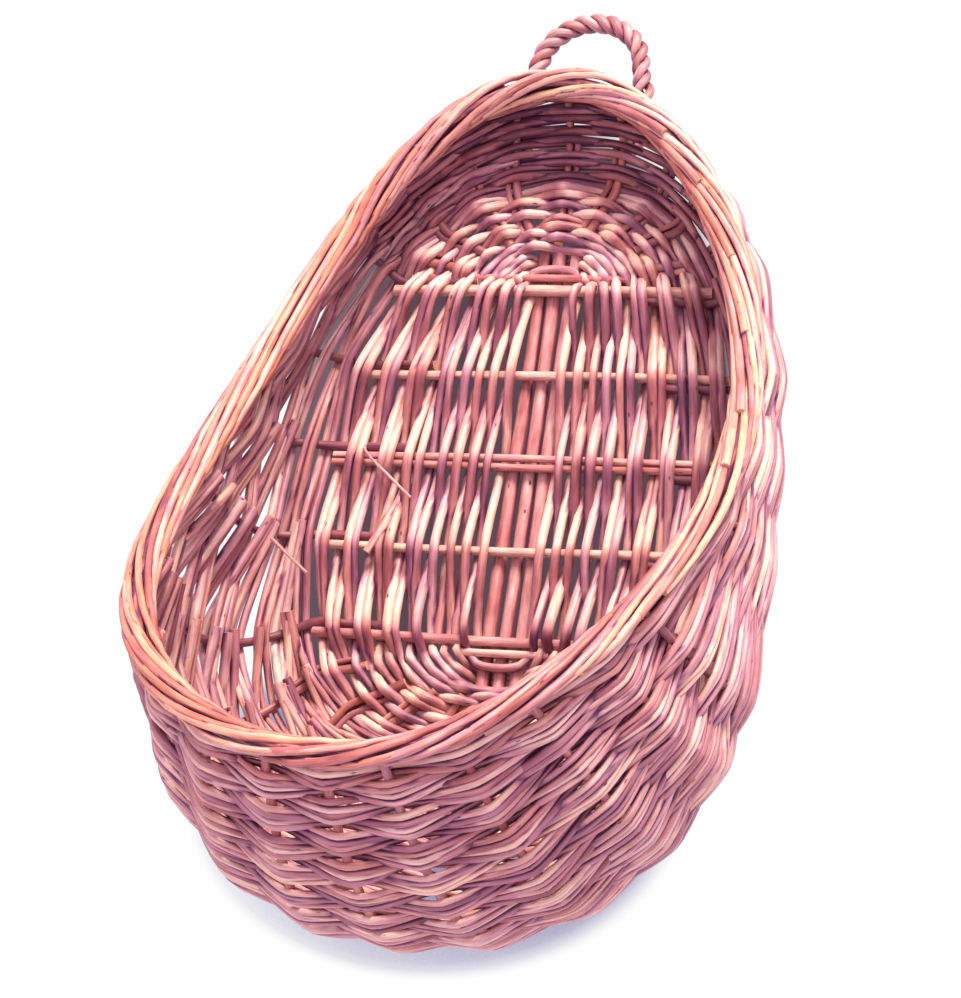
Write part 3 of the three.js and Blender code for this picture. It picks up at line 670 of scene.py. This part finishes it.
for band in range(side_bands):
    abreast = np.clip(np.round(band_height[band] / usual_pitch), 1, most_abreast).astype(int)
    whole = band in whole_bands
    for layer in range(most_abreast):
        if layer == 0 and whole:
            first = int(chance.integers(stake_count, 2 * stake_count))
            last = first + stake_count
        else:
            roomy = [turn for turn in range(head_turn, head_turn + stake_count)
                     if abreast[turn % stake_count] > layer and band_share[band, turn % stake_count] == 1]
            if len(roomy) < 3:
                continue
            first, last = roomy[0] - int(chance.integers(0, 2)), roomy[-1] + int(chance.integers(0, 2))
        first -= end_shows(first, band)
        last += end_shows(last, band)
        turns = list(range(first, last + 1))
        stout = chance.uniform(0.92, 1.1)
        sway = chance.normal(0, 0.35, len(turns))
        knots, wide, painted_light_and_wear = [], [], []
        for turn, stray in zip(turns, sway):
            k = turn % stake_count
            beside = max(abreast[k], layer + 1)
            pitch = max(band_height[band, k], 1.0) / beside
            thinnest = foot_thinnest if beside == most_abreast else head_thinnest if 5 < k < 13 else side_thinnest
            radius = stout * np.clip(0.54 * pitch, thinnest, thickest)
            side = 1 if (turn + band) % 2 == 0 else -1
            offset = side * (stake_radius + radius) * (outside_lean[k] if side > 0 else inside_lean[k])
            bunched = beside > 2 and side < 0
            if bunched and layer % 2 == 1:
                offset -= bunch_depth * radius
            if layer == 0 and whole and turn == last:
                offset += 2 * radius * side
            lift = (layer - (beside - 1) / 2) * radius * (bunch_lift if bunched else beside_lift)
            knots.append(on_wall(k, band_middle[band, k] + lift + stray, offset))
            wide.append(radius)
            # Rods are made lighter where they pass outside a stake and darker inside, and painted shade darkens the
            # rods at the head, under the border.
            painted_light_and_wear.append(0.4 * side - 1.1 * max(0.0, np.sin(stakes[k][1])) ** 6)
        if not (layer == 0 and whole):
            wide[:3] = [swell * usual for swell, usual in zip(butt_swell, wide)]
        for end, inner in ((0, 1), (-1, -2)):
            stub = knots[end] - knots[inner]
            out = wall_out[turns[end] % stake_count, wall_steps // 2]
            inside = (turns[end] + band) % 2
            past, lifted = chance.uniform([4, 1.0], [10, 3.0]) if inside else chance.uniform([0.2, 1.5], [1.5, 3.0])
            knots[end] = knots[end] + stub / np.linalg.norm(stub) * past - out * lifted
        line, count = bent(knots, ease=weave_ease)
        side_rods.append(rod(line, np.interp(count, np.arange(len(wide)), wide), chance.uniform(0.34, 0.98),
                             chance.uniform(0.05, 0.6), np.interp(count, np.arange(len(painted_light_and_wear)), painted_light_and_wear)))
lay_rods("side_weaving", side_rods, weaver_willow, [f"side_round_{i + 1}" for i in range(12)],
         sides=7)

# The stakes end in a rolled border. Each top bends over at the rim and runs along it past five others, from the inside
# over the top to the outside, where it is cut off. A rod is laid in beside every second top, and two rods run inside.
# At the right of the head, rods laid in last end on top, cut blunt.
border_half_width, border_half_height = 8.2, 6.4
border_radius = 1.9
# Rods run along the rim past this many stakes, and round the section by so many degrees from its inner side
border_span, rise_share, border_start, border_sweep = 5.3, 0.07, 210, 250
blunt_span, blunt_depth, blunt_start, blunt_sweep = 3.1, 0.9, 190, 105
blunt_from, blunt_to = -0.45, 1.0
core_radius, core_rises = 2.6, (-1.2, 1.6)
chance = np.random.default_rng(53)
stake_angles = np.array([angle for _, angle, _ in stakes])
round_angles = np.r_[stake_angles - 2 * np.pi, stake_angles, stake_angles + 2 * np.pi]
round_turns = np.arange(-stake_count, 2 * stake_count)
border_rods = []


def on_rim(turn, out, rise):
    """Point beside the rim, at a place counted in stakes, out from its middle and above it."""
    middle = rim_edge(np.interp(turn, round_turns, round_angles))
    k, part = int(np.floor(turn)), turn - np.floor(turn)
    near, far = k % stake_count, (k + 1) % stake_count
    outward = wall_out[near, -1] * (1 - part) + wall_out[far, -1] * part
    upward = wall_along[near, -1] * (1 - part) + wall_along[far, -1] * part
    return middle + out * outward / np.linalg.norm(outward) + rise * upward / np.linalg.norm(upward)


def on_border(turn, degrees, depth):
    """Point of the border's oval section, this far round it from its outer side and this deep below its surface."""
    angle = np.radians(degrees)
    return on_rim(turn, (border_half_width - depth) * np.cos(angle), (border_half_height - depth) * np.sin(angle))


for k in np.sort(np.r_[np.arange(stake_count), np.arange(0.5, stake_count, 2)]):
    span = border_span + chance.uniform(-0.5, 0.6)
    if k % 1 == 0:
        knots = [on_rim(k, 0.0, -16.0), on_rim(k, 0.0, -10.0), on_rim(k - 0.12, -2.5, -5.0)]
    else:
        knots = [on_rim(k, 0.0, -1.0)]
    for q in np.linspace(rise_share, 1, 30):
        tuck = 1.2 * max(0.0, (q - 0.8) / 0.2) + chance.uniform(-0.3, 0.3)
        degrees = border_start - border_sweep * (q - rise_share) / (1 - rise_share)
        knots.append(on_border(k - span * q, degrees, border_radius + tuck))
    line, count = bent(knots)
    wide = np.interp(count, [0, 1, 4, count[-1]], [1.4, 1.5, 2.05, 1.75]) * chance.uniform(0.9, 1.1)
    middle = np.interp(k - span / 2, round_turns, round_angles)
    # Painted light: the border is made lighter towards the right and the head, where the daylight comes from.
    painted_light_and_wear = 0.34 + 0.2 * np.cos(middle) + 0.28 * np.sin(middle)
    border_rods.append(rod(line, wide, chance.uniform(0.2, 0.8), chance.uniform(0.0, 0.55), painted_light_and_wear))
for k in range(stake_count):
    span = blunt_span + chance.uniform(-0.3, 0.3)
    if blunt_from < np.interp(k - span, round_turns, round_angles) < blunt_to:
        knots = [on_border(k + 0.3 - span * q, blunt_start - blunt_sweep * q, blunt_depth)
                 for q in np.linspace(0, 1, 18)]
        line, count = bent(knots)
        wide = np.interp(count, [0, 3, count[-1]], [1.2, 1.9, 2.3])
        border_rods.append(rod(line, wide, chance.uniform(0.25, 0.7), chance.uniform(0.0, 0.5), 0.32))
for rise in core_rises:
    line = [on_rim(turn, 0.3 * rise, rise) for turn in np.linspace(0, stake_count, 6 * stake_count + 1)]
    border_rods.append(rod(line, core_radius, 0.3, 0.4))
border_willow = stained_willow("stained_willow_border", ["#84393A", "#C06C54", "#E49C78", "#F6CE9E"],
                               ["#5C3050", "#8E5874", "#B88298", "#E2B6B4"], 0.42)
lay_rods("rolled_border_rods", border_rods, border_willow, ["rolled_border"], sides=10)

# The hanging loop is three thin willow rods twisted into a rope while green. Its two ends go down behind the head
# of the basket and are woven in.
strand_radius = 2.4
strand_offset = 2.75
rope_radius = strand_radius + strand_offset
rope_gap = 0.5
rope_level = rope_radius + rope_gap
loop_half_width = 28.0
crown = base_drop + rope_radius
twist = 24.0
# The ends sit a third of the way up the head wall, behind the flare of its weaving, beside the middle stake
head_middle = 9
wall_foot, wall_top, weave_flare = 4.0, 7.0, 3.2 + 0.7
seats = []
for k in (head_middle + 1, head_middle - 1):
    seat_height = wall_foot + (wall_length[k] - wall_foot - wall_top) / 3
    seats.append(on_wall(k, seat_height, stake_radius + weave_flare + stake_gap + rope_radius))
arch = [[loop_half_width * np.cos(t), crown - loop_half_width + loop_half_width * np.sin(t), rope_level]
        for t in np.pi * (1 - np.arange(0, 7) / 6)]
rope = bent([seats[0], *arch, seats[1]], 2.0)[0]
run = np.r_[0, np.cumsum(np.linalg.norm(np.diff(rope, axis=0), axis=1))]
share = run / run[-1]
slim = np.interp(share, [0, 0.55, 1], [1.0, 1.0, 0.86])
tangent = np.gradient(rope, axis=0)
tangent /= np.linalg.norm(tangent, axis=1, keepdims=True)
across = np.cross(tangent, [0, 0, -1.0])
across /= np.linalg.norm(across, axis=1, keepdims=True)
beyond = np.cross(across, tangent)
# One rod parts from the rope at each end
stray = [np.interp(share, [0.74, 0.88, 1], [0, 4.0, 5.0]), np.interp(share, [0, 0.1, 0.24], [-4.5, -3.5, 0]), 0]
loop_rods = []
for i in range(3):
    turn = -2 * np.pi * (run / twist + i / 3)
    reach = (strand_offset * slim * np.cos(turn) + stray[i])[:, None] * across
    line = rope + reach + (strand_offset * slim * np.sin(turn))[:, None] * beyond
    # Painted light and shade: each strand is made lighter where the twist brings it out from the wall and darker where
    # it turns behind.
    loop_rods.append(rod(line, strand_radius * slim, 0.3 + 0.14 * i, 0.35 + 0.2 * i, -0.9 * np.sin(turn)))
loop_willow = stained_willow("stained_willow_loop", ["#6A3036", "#A65A54", "#CF8A76", "#EBBA9C"],
                             ["#562F44", "#8C566A", "#B58090", "#DCB0AC"], 0.42)
lay_rods("hanging_loop", loop_rods, loop_willow, ["loop_strand_1", "loop_strand_2"], sides=10)
